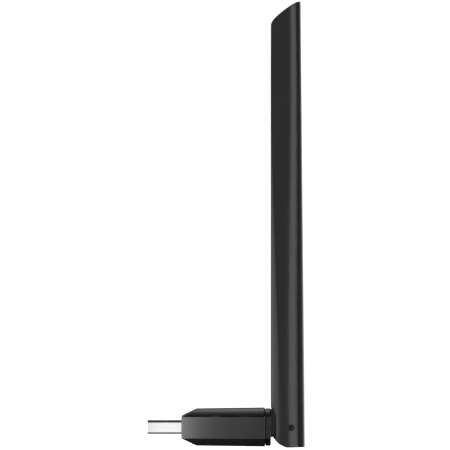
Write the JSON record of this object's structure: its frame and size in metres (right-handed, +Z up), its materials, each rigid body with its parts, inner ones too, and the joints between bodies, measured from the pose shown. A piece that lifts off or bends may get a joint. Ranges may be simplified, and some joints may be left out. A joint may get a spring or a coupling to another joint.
{
  "type": "usb wifi adapter",
  "caption": "Faceted USB wireless adapter with a USB-A plug and a tall flat antenna on a swivelling, folding hinge.",
  "frame": {"origin": "centre of the USB plug's section where it leaves the housing", "axes": "+X from the plug towards the antenna, along the swivel's axis; +Y across the dongle, along the fold hinge's pins; +Z up along the upright antenna"},
  "size_m": [0.0553, 0.018, 0.156],
  "materials": {
    "housing_plastic": "fine-textured moulded ABS, near black",
    "plug_steel": "bright nickel plate on folded steel",
    "carrier_plastic": "moulded, satin black",
    "contact_gold": "gold flash",
    "spring_steel": "rolled, bright",
    "pin_steel": "blackened, satin",
    "board_laminate": "green solder mask on glass laminate",
    "shield_tin": "tinned sheet, satin",
    "chip_epoxy": "moulded epoxy, matte",
    "crystal_can": "nickel can, satin",
    "ceramic_body": "fired ceramic, satin",
    "led_lens": "clear epoxy, gloss",
    "light_guide": "clear polycarbonate",
    "copper_foil": "bare copper, satin",
    "foam": "soft closed-cell foam",
    "coax_jacket": "fluoropolymer jacket, satin",
    "sleeve_brass": "drawn brass, satin"
  },
  "bodies": {
    "dongle": {"bottom_shell": "housing_plastic", "top_cover": "housing_plastic", "light_pipe": "light_guide", "plug_shell": "plug_steel", "plug_insulator": "carrier_plastic", "plug_contacts": "contact_gold", "main_board": "board_laminate", "shield_frame": "shield_tin", "shield_lid": "shield_tin", "wifi_chip": "chip_epoxy", "clock_crystal": "crystal_can", "voltage_regulator": "chip_epoxy", "power_inductor": "chip_epoxy", "activity_led": "led_lens", "board_passives": "ceramic_body", "cable_socket": "contact_gold", "cable_plug": "sleeve_brass", "coax_in_dongle": "coax_jacket"},
    "swivel": {"hinge_knuckle": "housing_plastic", "retaining_clip": "spring_steel", "friction_washer": "spring_steel", "hinge_washers": "spring_steel", "coax_in_knuckle": "coax_jacket", "coax_bend": "coax_jacket"},
    "antenna": {"antenna_front_shell": "housing_plastic", "antenna_back_cover": "housing_plastic", "hinge_pins": "pin_steel", "radiator_board": "board_laminate", "radiator_copper": "copper_foil", "foam_pads": "foam", "choke_sleeve": "sleeve_brass", "coax_in_antenna": "coax_jacket"}
  },
  "joints": [
    {"name": "antenna_swivel", "type": "hinge", "parent": "dongle", "child": "swivel", "pos_m": [0.0295, 0, 0], "axis": [1, 0, 0], "range_deg": [-90, 90]},
    {"name": "antenna_fold", "type": "hinge", "parent": "swivel", "child": "antenna", "pos_m": [0.03845, 0, 0], "axis": [0, 1, 0], "range_deg": [0, 90], "deforming": ["coax_bend"]}
  ]
}
